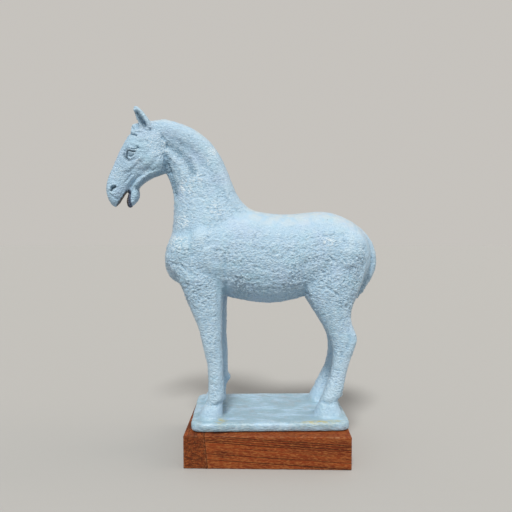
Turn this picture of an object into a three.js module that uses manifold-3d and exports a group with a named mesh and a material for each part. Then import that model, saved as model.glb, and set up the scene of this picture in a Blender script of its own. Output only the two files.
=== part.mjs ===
// A standing horse statuette in painted plaster, cast in one with its own slab, on a plinth of dark hardwood.
// Millimetres, +Z up. The origin is the middle of the plinth's underside. The horse faces -X, and its
// left side, the near side, faces -Y. The plinth is a block with a strip of end grain glued to its head end.
import * as THREE from "three";
import { mergeVertices } from "three/addons/utils/BufferGeometryUtils.js";
import Module from "manifold-3d";

const wasm = await Module();
wasm.setup();

// ---- driving dimensions ----

const plinth = { length: 173, depth: 118, height: 34.5, easedEdge: 0.8, stripTop: 21.5, stripFoot: 25, joint: 0.3 };
const slab = { length: 168, depth: 97, thickness: 9, cornerRadius: 11, roundedEdge: 1.5 };
// The casting stands a little askew on the plinth, on a hairline of clearance, and the horse askew on its slab.
const casting = { x: 1.5, y: 0.5, turnDegrees: 2.7, horseTurnDegrees: 2.3, seatGap: 0.3 };

// Below, the horse is in its own frame: x along its body, y across it, z above the slab's underside.
// A section is an oval ring. It has two ends in the side view, a half width across, and a middle that stands
// out from the centre line. A power over 2 squares the oval, and a swell over 0 widens it towards its first end.

// Upright sections from breast to buttocks: x, top, bottom, half width.
const trunk = [
  { at: "breast", x: -114, top: 184, bottom: 172, half: 7 },
  { at: "breast", x: -111, top: 198, bottom: 161, half: 19 },
  { at: "pectorals", x: -103, top: 211, bottom: 154, half: 28.5 },
  { at: "shoulder point", x: -90, top: 219, bottom: 148, half: 34.5 },
  { at: "shoulder", x: -70, top: 227, bottom: 142, half: 38 },
  { at: "girth", x: -45, top: 233, bottom: 136.5, half: 38.5 },
  { at: "withers", x: -20, top: 232.5, bottom: 131, half: 38.5 },
  { at: "ribs", x: 5, top: 228.5, bottom: 129.3, half: 38.5 },
  { at: "loin", x: 28, top: 228.5, bottom: 133.5, half: 37.5 },
  { at: "flank", x: 48, top: 231, bottom: 139, half: 37 },
  { at: "hips", x: 66, top: 230.7, bottom: 143, half: 38 },
  { at: "croup", x: 83, top: 225.4, bottom: 144, half: 37.5 },
  { at: "buttocks", x: 97, top: 217, bottom: 150, half: 33 },
  { at: "buttocks", x: 107, top: 206, bottom: 160, half: 25 },
  { at: "buttocks", x: 112, top: 195, bottom: 173, half: 13 },
];

// Sections up the neck: windpipe end, crest end, half width.
const neck = [
  { at: "in the trunk", throat: [-98, 176], crest: [6, 222], half: 27 },
  { at: "root", throat: [-108.5, 196], crest: [-15, 230], half: 29 },
  { at: "root", throat: [-107, 209], crest: [-27, 237], half: 27.5 },
  { at: "lower neck", throat: [-105.5, 223], crest: [-35, 247], half: 24.5 },
  { at: "middle", throat: [-104.8, 237], crest: [-41, 259], half: 21 },
  { at: "middle", throat: [-105.5, 251], crest: [-46, 271], half: 18.5 },
  { at: "throat", throat: [-108.5, 262], crest: [-54, 286], half: 16 },
  { at: "throat", throat: [-111.5, 269.5], crest: [-65, 301], half: 14 },
  { at: "nape", throat: [-115.5, 278], crest: [-80, 314], half: 12.5 },
  { at: "nape", throat: [-120.5, 287], crest: [-96.5, 323], half: 12 },
  { at: "poll", throat: [-126.5, 298], crest: [-113.5, 327], half: 10.5 },
];

// The thick clipped mane over the neck: inner end, outer end, half width.
const mane = [
  { at: "poll", inner: [-126, 311], outer: [-130, 328], half: 8 },
  { at: "poll", inner: [-118, 306], outer: [-116, 331], half: 12 },
  { at: "nape", inner: [-105.5, 302], outer: [-98.5, 327.2], half: 14 },
  { at: "nape", inner: [-92, 295.5], outer: [-81, 320], half: 14.8 },
  { at: "middle", inner: [-81, 285], outer: [-64, 306.7], half: 15.2 },
  { at: "middle", inner: [-73, 271], outer: [-52, 289], half: 15.8 },
  { at: "lower neck", inner: [-66, 256], outer: [-43.5, 269], half: 17 },
  { at: "lower neck", inner: [-57, 238], outer: [-34.2, 247.4], half: 18 },
  { at: "withers", inner: [-44, 224], outer: [-22, 234.6], half: 18 },
  { at: "withers", inner: [-28, 216], outer: [-6, 228.5], half: 16 },
];

// The head's own axis runs from the poll to the lips. Its sections are given by the distance along that axis,
// and by how far the face and the jaw stand off it.
const headAxis = { poll: [-117.2, 317], slopeDegrees: 54.1, scale: 0.987 };
const skull = [
  { at: "in the neck", along: -6, face: 10, jaw: -6, half: 7 },
  { at: "poll", along: 4, face: 19, jaw: -13, half: 12 },
  { at: "temples", along: 14, face: 24, jaw: -18.5, half: 14.6 },
  { at: "brow", along: 24, face: 26.8, jaw: -25.5, half: 15.8 },
  { at: "eyes", along: 34, face: 26, jaw: -29.5, half: 15.4 },
  { at: "cheeks", along: 44, face: 24.8, jaw: -23, half: 13.6 },
  { at: "cheeks", along: 54, face: 22.8, jaw: -17, half: 11.4 },
  { at: "bridge", along: 64, face: 20.7, jaw: -10, half: 9.6 },
  { at: "bridge", along: 73, face: 18.7, jaw: -7.6, half: 9.2 },
  { at: "nostrils", along: 80, face: 16.2, jaw: -7.4, half: 10 },
  { at: "nostrils", along: 87, face: 12.4, jaw: -7.6, half: 9.6 },
  { at: "upper lip", along: 93, face: 6, jaw: -7.8, half: 7.8 },
  { at: "upper lip", along: 97, face: -1.5, jaw: -7, half: 4 },
];
const lowerJaw = [
  { at: "cheeks", along: 40, face: -8, jaw: -24, half: 11 },
  { at: "cheeks", along: 50, face: -7, jaw: -19.6, half: 10 },
  { at: "bars", along: 59, face: -7, jaw: -16, half: 8.6 },
  { at: "chin groove", along: 65.5, face: -7, jaw: -15.2, half: 7.8 },
  { at: "chin", along: 70, face: -7.6, jaw: -20, half: 7.8 },
  { at: "chin", along: 75, face: -9, jaw: -22, half: 8 },
  { at: "lower lip", along: 80, face: -10.6, jaw: -22, half: 7.6 },
  { at: "lower lip", along: 85, face: -12.6, jaw: -20.9, half: 6.4 },
  { at: "lower lip", along: 88.6, face: -17.4, jaw: -20.9, half: 3.4 },
];
const eye = { along: 37, face: 13, out: 12.6, radius: 4 };
const nostril = { along: 80.5, face: 7.2, out: 10.4, radius: 2.3 };
const ear = { base: [-130, 317.5], tip: [-143.8, 341.8], out: 8.6, splay: 3, radius: 4.9, hollow: 3.5 };
// The forelock stands out over the brow as a short blunt tuft: top end, bottom end, half width.
const forelock = [
  { at: "poll", top: [-125, 327], bottom: [-127, 315], half: 5 },
  { at: "lock", top: [-136, 328], bottom: [-138, 315], half: 6 },
  { at: "lock", top: [-144.8, 326.2], bottom: [-146, 314.5], half: 6 },
  { at: "tip", top: [-150.3, 322.4], bottom: [-149.4, 316.4], half: 4.6 },
];

// Sections down a leg: height, front edge, back edge, half width, distance out from the centre line.
const foreLeg = [
  { at: "shoulder", z: 180, front: -104, back: -52, half: 16, out: 19 },
  { at: "shoulder", z: 163, front: -102.6, back: -50, half: 17, out: 20 },
  { at: "arm", z: 150, front: -95.6, back: -50, half: 16, out: 21 },
  { at: "elbow", z: 136, front: -90.4, back: -51, half: 14.5, out: 22 },
  { at: "forearm", z: 120, front: -83.8, back: -52, half: 12.6, out: 23 },
  { at: "forearm", z: 105, front: -77.6, back: -52, half: 10.8, out: 24 },
  { at: "knee", z: 92, front: -74.6, back: -52.6, half: 10, out: 24.6 },
  { at: "knee", z: 80, front: -72, back: -51.8, half: 9, out: 25 },
  { at: "cannon", z: 66, front: -68.4, back: -51.2, half: 8, out: 25.4 },
  { at: "cannon", z: 50, front: -67.6, back: -51, half: 7.8, out: 25.8 },
  { at: "fetlock", z: 35, front: -68, back: -50.2, half: 8.8, out: 26 },
  { at: "pastern", z: 27, front: -69, back: -52, half: 8.2, out: 26 },
  { at: "coronet", z: 20.5, front: -73, back: -52, half: 10, out: 26 },
  { at: "hoof", z: 14, front: -76.8, back: -51.8, half: 12, out: 26 },
  { at: "sole", z: 5, front: -79.8, back: -51.2, half: 13.2, out: 26 },
];
const hindLeg = [
  { at: "haunch", z: 188, front: 50, back: 108, half: 17, out: 19 },
  { at: "haunch", z: 168, front: 40, back: 106, half: 18.5, out: 20 },
  { at: "thigh", z: 152, front: 36, back: 100.5, half: 18, out: 21 },
  { at: "stifle", z: 140, front: 38.6, back: 95, half: 16.4, out: 22 },
  { at: "stifle", z: 130, front: 43, back: 90.5, half: 14.8, out: 22.8 },
  { at: "gaskin", z: 119, front: 49.6, back: 87.8, half: 12.8, out: 23.5 },
  { at: "gaskin", z: 109, front: 55.6, back: 89, half: 11, out: 24 },
  { at: "hock", z: 100, front: 61, back: 92.6, half: 10, out: 24.6 },
  { at: "hock", z: 92, front: 64.8, back: 94.8, half: 9.8, out: 25 },
  { at: "hock", z: 84, front: 67.4, back: 93, half: 9.3, out: 25.2 },
  { at: "cannon", z: 74, front: 68, back: 89, half: 8.6, out: 25.4 },
  { at: "cannon", z: 62, front: 66.8, back: 85, half: 8, out: 25.6 },
  { at: "cannon", z: 50, front: 64.4, back: 82, half: 7.9, out: 25.8 },
  { at: "fetlock", z: 40, front: 60, back: 80.2, half: 8.4, out: 26 },
  { at: "fetlock", z: 33, front: 57, back: 78.6, half: 9, out: 26 },
  { at: "pastern", z: 26, front: 54.4, back: 73.2, half: 8.6, out: 26 },
  { at: "coronet", z: 19.5, front: 51.4, back: 74.6, half: 10.4, out: 26 },
  { at: "hoof", z: 13, front: 48.2, back: 77.6, half: 12.4, out: 26 },
  { at: "sole", z: 5, front: 43.4, back: 81.6, half: 13.6, out: 26 },
];
// Each leg's own stance: how far it is set back along the body at its top, at its cannon and at its sole,
// and the tuft behind its fetlock.
const stances = [
  { name: "near fore", sections: foreLeg, side: -1, setBack: [0, 0, 0], tuft: { x: -53, z: 31.5, radius: 4.2 } },
  { name: "far fore", sections: foreLeg, side: 1, setBack: [5, 5.4, 3.4], tuft: { x: -46.6, z: 37.4, radius: 4.6 } },
  { name: "near hind", sections: hindLeg, side: -1, setBack: [0, 0, 0], tuft: { x: 75.6, z: 32, radius: 4.2 } },
  { name: "far hind", sections: hindLeg, side: 1, setBack: [2, 5.5, 2], tuft: { x: 80, z: 32, radius: 4.2 } },
];
const setBackHeights = { top: 140, cannon: 60, sole: 10 };

// The tail is pressed into the cleft of the buttocks: outer end, inner end, half width.
const tail = [
  { at: "dock", outer: [90, 222], inner: [87, 208], half: 6 },
  { at: "dock", outer: [103, 213.8], inner: [94, 204], half: 8 },
  { at: "tail", outer: [115, 200.6], inner: [102, 194], half: 9.4 },
  { at: "tail", outer: [121.2, 184.4], inner: [106, 183], half: 10 },
  { at: "tail", outer: [122, 172], inner: [104, 173], half: 9.8 },
  { at: "tail", outer: [119, 160], inner: [101, 164], half: 8.8 },
  { at: "tip", outer: [112.6, 148.6], inner: [97, 157], half: 7 },
  { at: "tip", outer: [106.4, 139], inner: [95, 149], half: 5 },
  { at: "tip", outer: [100.4, 131], inner: [92, 139], half: 2.6 },
];

// Masses of muscle that stand proud of the lofted forms: middle, radii along x, y and z, tilt in the side view.
const muscles = [
  { at: "shoulder blade", x: -68, y: 23, z: 184, radii: [23, 16.5, 33], tilt: -16 },
  { at: "breast", x: -97, y: 14, z: 180, radii: [16.5, 15, 19], tilt: 0 },
  { at: "haunch", x: 80, y: 20.5, z: 182, radii: [27, 19.5, 33], tilt: 14 },
  { at: "cheek", x: -126.5, y: 7.5, z: 287, radii: [15.5, 9, 14.5], tilt: 0 },
];

const radians = THREE.MathUtils.degToRad;

// ---- tools ----

// A closed tube through oval sections [{ first: [x, z], last: [x, z], half, out, power, swell }].
function loft(sections, rings, sides) {
  const through = (point) => new THREE.CatmullRomCurve3(sections.map(point));
  const first = through((s) => new THREE.Vector3(s.first[0], 0, s.first[1]));
  const last = through((s) => new THREE.Vector3(s.last[0], 0, s.last[1]));
  const across = through((s) => new THREE.Vector3(s.half, s.out ?? 0, s.power ?? 2.2));
  const swells = through((s) => new THREE.Vector3(s.swell ?? 0, 0, 0));
  const points = [];
  const triangles = [];
  const bend = (value, power) => Math.sign(value) * Math.abs(value) ** (2 / power);
  for (let i = 0; i < rings; i++) {
    const t = i / (rings - 1);
    const a = first.getPoint(t);
    const b = last.getPoint(t);
    const { x: half, y: out, z: power } = across.getPoint(t);
    const swell = swells.getPoint(t).x;
    for (let k = 0; k < sides; k++) {
      const angle = (2 * Math.PI * k) / sides;
      const lengthwise = bend(Math.cos(angle), power);
      const p = b.clone().lerp(a, (1 + lengthwise) / 2);
      p.y = out + half * bend(Math.sin(angle), power) * (1 + swell * Math.cos(angle));
      points.push(p.x, p.y, p.z);
    }
  }
  for (let i = 0; i + 1 < rings; i++)
    for (let k = 0; k < sides; k++) {
      const here = i * sides + k;
      const next = i * sides + ((k + 1) % sides);
      triangles.push(here, next, next + sides, here, next + sides, here + sides);
    }
  for (let k = 1; k + 1 < sides; k++) {
    const end = (rings - 1) * sides;
    triangles.push(0, k + 1, k, end, end + k, end + k + 1);
  }
  const geometry = new THREE.BufferGeometry();
  geometry.setAttribute("position", new THREE.Float32BufferAttribute(points, 3));
  geometry.setIndex(triangles);
  return geometry;
}

// A closed geometry as a manifold-3d solid, its faces turned outwards.
function solid(geometry) {
  const bare = geometry.clone();
  bare.deleteAttribute("normal");
  bare.deleteAttribute("uv");
  const merged = mergeVertices(bare, 1e-4);
  const position = merged.getAttribute("position");
  const corners = Array.from(merged.index.array);
  const [a, b, c] = [new THREE.Vector3(), new THREE.Vector3(), new THREE.Vector3()];
  let volume = 0;
  for (let i = 0; i < corners.length; i += 3) {
    a.fromBufferAttribute(position, corners[i]);
    b.fromBufferAttribute(position, corners[i + 1]);
    c.fromBufferAttribute(position, corners[i + 2]);
    volume += a.dot(b.cross(c)) / 6;
  }
  if (volume < 0) corners.reverse();
  return new wasm.Manifold(
    new wasm.Mesh({ numProp: 3, vertProperties: position.array, triVerts: Uint32Array.from(corners) }),
  );
}

function geometryOf(manifold) {
  const { vertProperties, triVerts } = manifold.getMesh();
  const geometry = new THREE.BufferGeometry();
  geometry.setAttribute("position", new THREE.BufferAttribute(vertProperties, 3));
  geometry.setIndex(new THREE.BufferAttribute(triVerts, 1));
  geometry.computeVertexNormals();
  return geometry;
}

function ellipsoid([x, y, z], [rx, ry, rz], tiltDegrees = 0, steps = 12) {
  return new THREE.SphereGeometry(1, steps, Math.round(steps * 0.6))
    .scale(rx, rz, ry)
    .rotateX(Math.PI / 2)
    .rotateY(radians(tiltDegrees))
    .translate(x, y, z);
}

// A point of the side view, given along the head's axis and out towards the face.
function headPoint(along, face) {
  const slope = radians(headAxis.slopeDegrees);
  const [x, z] = headAxis.poll;
  const [down, up] = [along * headAxis.scale, face * headAxis.scale];
  return [x - down * Math.cos(slope) - up * Math.sin(slope), z - down * Math.sin(slope) + up * Math.cos(slope)];
}

// ---- the horse, part by part ----

function trunkSolids() {
  const sections = trunk.map(({ x, top, bottom, half }) => ({
    first: [x, top],
    last: [x, bottom],
    half,
    power: 2.25,
    swell: -0.06,
  }));
  const masses = muscles.flatMap(({ x, y, z, radii, tilt }) => [
    ellipsoid([x, -y, z], radii, tilt),
    ellipsoid([x, y, z], radii, tilt),
  ]);
  return [loft(sections, 24, 24), ...masses];
}

function neckSolids() {
  const column = neck.map(({ throat, crest, half }) => ({ first: throat, last: crest, half, swell: 0.12 }));
  const clipped = mane.map(({ inner, outer, half }) => ({ first: inner, last: outer, half, power: 2.3 }));
  return [loft(column, 20, 20), loft(clipped, 17, 14)];
}

function headSolids() {
  const faced = ({ along, face, jaw, half }, swell) => ({
    first: headPoint(along, face),
    last: headPoint(along, jaw),
    half,
    power: 2.3,
    swell,
  });
  const upper = skull.map((s) => faced(s, 0.05));
  const lower = lowerJaw.map((s) => faced(s, -0.35));
  const lock = forelock.map(({ top, bottom, half }) => ({ first: top, last: bottom, half }));
  const solids = [loft(upper, 24, 20), loft(lower, 17, 14), loft(lock, 8, 10)];
  for (const side of [-1, 1]) {
    const [x, z] = headPoint(eye.along, eye.face);
    solids.push(ellipsoid([x, side * eye.out, z], [eye.radius, eye.radius, eye.radius], 0, 10));
  }
  return solids;
}

// An ear is a leaf-shaped shell, hollow towards the front and the outside.
function earSolid(side) {
  const [baseX, baseZ] = ear.base;
  const [tipX, tipZ] = ear.tip;
  const base = new THREE.Vector3(baseX, side * ear.out, baseZ);
  const tip = new THREE.Vector3(tipX, side * (ear.out + ear.splay), tipZ);
  const length = base.distanceTo(tip);
  const leaf = (radius, low, high) => {
    const profile = [];
    const steps = 9;
    for (let i = 0; i <= steps; i++) {
      const t = i / steps;
      const ends = i === 0 || i === steps;
      profile.push(new THREE.Vector2(ends ? 0 : radius * Math.sin(Math.PI * t ** 0.75) ** 0.7, low + (high - low) * t));
    }
    return new THREE.LatheGeometry(profile, 12);
  };
  const lean = new THREE.Quaternion().setFromUnitVectors(new THREE.Vector3(0, 1, 0), tip.clone().sub(base).normalize());
  const place = (geometry) => geometry.applyQuaternion(lean).translate(base.x, base.y, base.z);
  const outside = solid(place(leaf(ear.radius, -3, length)));
  const cup = solid(place(leaf(ear.hollow, 1.5, length - 4)).translate(-1.6, side * 3.2, 0));
  return outside.subtract(cup);
}

function legSolids({ sections, side, setBack, tuft }) {
  const [top, cannon, sole] = setBack;
  const heights = setBackHeights;
  const shiftAt = (z) =>
    z > heights.cannon
      ? THREE.MathUtils.mapLinear(Math.min(z, heights.top), heights.cannon, heights.top, cannon, top)
      : THREE.MathUtils.mapLinear(Math.max(z, heights.sole), heights.sole, heights.cannon, sole, cannon);
  const lofted = sections.map(({ z, front, back, half, out }) => ({
    first: [front + shiftAt(z), z],
    last: [back + shiftAt(z), z],
    half,
    out: side * out,
  }));
  const ankle = sections.find((s) => s.at === "fetlock").out;
  return [
    loft(lofted, 22, 12),
    ellipsoid([tuft.x, side * ankle, tuft.z], [tuft.radius, tuft.radius * 0.9, tuft.radius * 1.1], 0, 8),
  ];
}

function tailSolid() {
  return loft(tail.map(({ outer, inner, half }) => ({ first: outer, last: inner, half })), 15, 12);
}

function slabSolid() {
  const { length, depth, thickness, cornerRadius, roundedEdge } = slab;
  const [x, y, r] = [length / 2 - roundedEdge, depth / 2 - roundedEdge, cornerRadius - roundedEdge];
  const outline = new THREE.Shape();
  outline.moveTo(-x + r, -y);
  outline.absarc(x - r, -y + r, r, -Math.PI / 2, 0);
  outline.absarc(x - r, y - r, r, 0, Math.PI / 2);
  outline.absarc(-x + r, y - r, r, Math.PI / 2, Math.PI);
  outline.absarc(-x + r, -y + r, r, Math.PI, 1.5 * Math.PI);
  const cast = new THREE.ExtrudeGeometry(outline, {
    depth: thickness,
    bevelThickness: roundedEdge,
    bevelSize: roundedEdge,
    bevelSegments: 3,
    curveSegments: 5,
  }).translate(0, 0, -roundedEdge);
  const above = new THREE.BoxGeometry(2 * length, 2 * depth, thickness).translate(0, 0, thickness / 2);
  return solid(cast).intersect(solid(above));
}

function horseSolid() {
  const lofts = [...trunkSolids(), ...neckSolids(), ...headSolids(), ...stances.flatMap(legSolids), tailSolid()];
  let animal = solid(lofts[0]);
  for (const geometry of lofts.slice(1)) animal = animal.add(solid(geometry));
  for (const side of [-1, 1]) {
    animal = animal.add(earSolid(side));
    const [x, z] = headPoint(nostril.along, nostril.face);
    const r = nostril.radius;
    animal = animal.subtract(solid(ellipsoid([x, side * nostril.out, z], [r, 2 * r, r * 1.2], 30, 8)));
  }
  const turned = geometryOf(animal).rotateZ(radians(casting.horseTurnDegrees));
  return solid(turned).add(slabSolid());
}

// ---- the plinth ----

// A plank of the plinth, from its outline seen from the front, with eased edges at front and back.
function plank(corners) {
  const shape = new THREE.Shape(corners.map(([x, z]) => new THREE.Vector2(x, z)));
  const ease = plinth.easedEdge;
  return new THREE.ExtrudeGeometry(shape, {
    depth: plinth.depth - 2 * ease,
    bevelThickness: ease,
    bevelSize: ease,
    bevelOffset: -ease,
    bevelSegments: 1,
  })
    .rotateX(Math.PI / 2)
    .translate(0, plinth.depth / 2 - ease, 0);
}

const left = -plinth.length / 2;
const right = plinth.length / 2;
const topOfPlinth = plinth.height;
const stripOutline = [
  [left, 0],
  [left + plinth.stripFoot, 0],
  [left + plinth.stripTop, topOfPlinth],
  [left, topOfPlinth],
];
const blockOutline = [
  [left + plinth.stripFoot + plinth.joint, 0],
  [right, 0],
  [right, topOfPlinth],
  [left + plinth.stripTop + plinth.joint, topOfPlinth],
];

// ---- the object ----

const paint = new THREE.MeshStandardMaterial({ color: "#9fc4d8", roughness: 0.55, metalness: 0 });
const hardwood = new THREE.MeshStandardMaterial({ color: "#7a4327", roughness: 0.6, metalness: 0 });
const endGrain = new THREE.MeshStandardMaterial({ color: "#6b3d26", roughness: 0.75, metalness: 0 });

const statuette = new THREE.Group();

function piece(name, geometry, material, parent) {
  const mesh = new THREE.Mesh(geometry, material);
  mesh.name = name;
  parent.add(mesh);
}

piece("plinth_block", plank(blockOutline), hardwood, statuette);
piece("plinth_end_strip", plank(stripOutline), endGrain, statuette);

const standing = new THREE.Group();
standing.position.set(casting.x, casting.y, plinth.height + casting.seatGap);
standing.rotation.z = radians(casting.turnDegrees);
statuette.add(standing);
piece("horse", geometryOf(horseSolid()), paint, standing);

export default statuette;
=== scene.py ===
import math

import bmesh
import bpy
import numpy as np
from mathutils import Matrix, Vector, noise


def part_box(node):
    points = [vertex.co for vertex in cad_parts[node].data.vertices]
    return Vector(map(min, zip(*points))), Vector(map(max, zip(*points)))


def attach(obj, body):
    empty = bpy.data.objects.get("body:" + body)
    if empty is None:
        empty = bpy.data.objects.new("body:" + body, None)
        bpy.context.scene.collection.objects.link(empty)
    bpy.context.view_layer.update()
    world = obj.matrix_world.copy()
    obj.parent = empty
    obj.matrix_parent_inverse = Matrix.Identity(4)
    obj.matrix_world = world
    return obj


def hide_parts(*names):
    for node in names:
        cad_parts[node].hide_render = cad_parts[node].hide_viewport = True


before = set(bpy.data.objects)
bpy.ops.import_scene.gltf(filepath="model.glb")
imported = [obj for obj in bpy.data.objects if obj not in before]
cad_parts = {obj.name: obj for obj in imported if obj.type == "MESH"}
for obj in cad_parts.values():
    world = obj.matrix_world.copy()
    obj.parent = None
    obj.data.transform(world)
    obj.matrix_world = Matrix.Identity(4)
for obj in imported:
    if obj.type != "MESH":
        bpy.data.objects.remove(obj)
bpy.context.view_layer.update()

mm = 0.001
print("frame loaded:", sorted(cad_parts))


def toLinear(hexColour):
    channels = [int(hexColour[i:i + 2], 16) / 255 for i in (1, 3, 5)]
    return [c / 12.92 if c <= 0.04045 else ((c + 0.055) / 1.055) ** 2.4 for c in channels] + [1]


def smoothStep(values, low, high):
    t = np.clip((values - low) / (high - low), 0, 1)
    return t * t * (3 - 2 * t)


def pointsOf(mesh):
    flat = np.empty(len(mesh.vertices) * 3)
    mesh.vertices.foreach_get("co", flat)
    return flat.reshape(-1, 3)


def normalsOf(mesh):
    flat = np.empty(len(mesh.vertices) * 3)
    mesh.vertex_normals.foreach_get("vector", flat)
    return flat.reshape(-1, 3)


def edgesOf(mesh):
    flat = np.empty(len(mesh.edges) * 2, dtype=np.int32)
    mesh.edges.foreach_get("vertices", flat)
    return flat.reshape(-1, 2)


def setPoints(mesh, points):
    mesh.vertices.foreach_set("co", points.ravel())
    mesh.update()


def neighbourMean(points, edges):
    a, b = edges.T
    count = np.bincount(edges.ravel(), minlength=len(points))
    sums = [
        np.bincount(a, points[b, k], len(points)) + np.bincount(b, points[a, k], len(points))
        for k in range(3)
    ]
    return np.stack(sums, axis=1) / np.maximum(count, 1)[:, None]


def evened(points, edges, passes):
    for _ in range(passes):
        points = points + 0.5 * (neighbourMean(points, edges) - points)
    return points


def afterModifier(piece, kind, **settings):
    modifier = piece.modifiers.new("shape", kind)
    for name, value in settings.items():
        setattr(modifier, name, value)
    graph = bpy.context.evaluated_depsgraph_get()
    mesh = bpy.data.meshes.new_from_object(piece.evaluated_get(graph))
    piece.modifiers.remove(modifier)
    old = piece.data
    piece.data = mesh
    bpy.data.meshes.remove(old)


def newPiece(name, mesh):
    mesh.name = name
    piece = bpy.data.objects.new(name, mesh)
    bpy.context.scene.collection.objects.link(piece)
    return piece


def shadeSmooth(mesh):
    mesh.polygons.foreach_set("use_smooth", [True] * len(mesh.polygons))
    mesh.update()


def storeMask(mesh, name, values):
    layer = mesh.attributes.new(name, "FLOAT", "POINT")
    layer.data.foreach_set("value", np.ascontiguousarray(values, dtype=np.float32))


def field(places, size, seed):
    # Smooth noise from -1 to 1, with lumps about one size across.
    shifted = places / np.asarray(size, dtype=float) + seed * np.array([17.3, 5.1, 11.7])
    return np.array([noise.noise(p) for p in shifted.tolist()])


def cells(places, size, seed):
    # Irregular cells one size across: how far each place is from its cell's middle, the cell's own lot,
    # and how far below the middle the place is, more or less askew from cell to cell.
    shifted = places / np.asarray(size, dtype=float) + seed * np.array([7.9, 13.7, 3.3])
    away = np.empty(len(places))
    lot = np.empty(len(places))
    middle = np.empty((len(places), 3))
    for i, p in enumerate(shifted.tolist()):
        distances, middles = noise.voronoi(p)
        away[i] = distances[0]
        middle[i] = middles[0]
        lot[i] = noise.cell(middles[0] * 7.7)
    offset = shifted - middle
    return away, lot, 0.6 * lot * offset[:, 0] - offset[:, 2]


def keepInside(mesh, box):
    low, high = (np.array(corner) for corner in box)
    setPoints(mesh, np.clip(pointsOf(mesh), low, high))


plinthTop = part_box("plinth_block")[1][2]
# The casting is set askew on the plinth. Below, the horse has its own millimetres: u runs from its head
# to its tail, v from its near side to its far side, and w up from the plinth.
stance = {"centre": (1.5, 0.5), "turn": math.radians(5.0)}


def turned(x, y, z):
    c, s = math.cos(stance["turn"]), math.sin(stance["turn"])
    return np.stack([x * c + y * s, y * c - x * s, z], axis=1)


def toHorse(points):
    x, y, z = points.T / mm
    return turned(x - stance["centre"][0], y - stance["centre"][1], z - plinthTop / mm)


def toWorld(spot):
    c, s = math.cos(stance["turn"]), math.sin(stance["turn"])
    u, v, w = spot.T
    x = u * c - v * s + stance["centre"][0]
    y = u * s + v * c + stance["centre"][1]
    return np.stack([x, y, w + plinthTop / mm], axis=1) * mm


casting = {
    "weldVoxel": 1.15,      # mm, joins the forms into one skin
    "fineVoxel": 0.85,      # mm, carries the relief
    "filletPasses": 50,     # how far the inner corners are filled
    "hollow": (0.004, 0.05),     # mm under its neighbours, where filling starts and is full
    "headKept": 0.88,       # share of the head's inner corners left sharp
    "slabKept": 0.9,        # and of the slab's
    "evenPasses": 5,        # takes the facets off
    "slabFacets": 0.7,      # share of the slab's facets left on
    "triangles": 194000,
    "headShare": 0.5,       # how freely the head may be thinned, beside the body
    "faceShare": 0.25,
    "slabTop": 9.0,         # mm above the plinth
}

# Modelling strokes, the same on both sides: a path of (u, w), how wide, and how far out or in, all in mm.
eyeStrokes = {
    "brow": ([(-152, 302.4), (-147, 303.4), (-141, 302)], 2.2, 0.6),
    "brow crease": ([(-156.3, 291.2), (-156, 294), (-154.3, 296.9), (-151.5, 298.2), (-148.1, 297.7),
                     (-144.7, 296.8), (-142.4, 297.4), (-140.7, 298.4)], 0.75, -1.3),
    "upper lid": ([(-154.5, 290.6), (-154.2, 294), (-152.6, 296.4), (-149.4, 296.8), (-146.2, 295.8),
                   (-143, 295.8)], 0.7, 0.9),
    "lid edge": ([(-153.2, 287.2), (-152.9, 292.3), (-151.5, 295), (-149.2, 295.3), (-146.4, 294.2),
                  (-144.1, 294.3)], 0.75, -2.0),
    "below the ball": ([(-150.2, 289.6), (-148, 289.2), (-145.8, 290.8)], 0.7, -1.1),
    "lower lid": ([(-151.4, 287.6), (-148.4, 286.9), (-145, 289)], 0.9, 0.6),
    "socket": ([(-156.2, 290.6), (-154.2, 287), (-151.6, 285.4)], 1.6, -1.8),
    "outer corner": ([(-141.8, 299.4), (-139.4, 297.2)], 0.9, -0.9),
    "under-eye crease": ([(-149.6, 284.7), (-145, 285.2), (-141.6, 287.4)], 0.9, -0.5),
}

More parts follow.
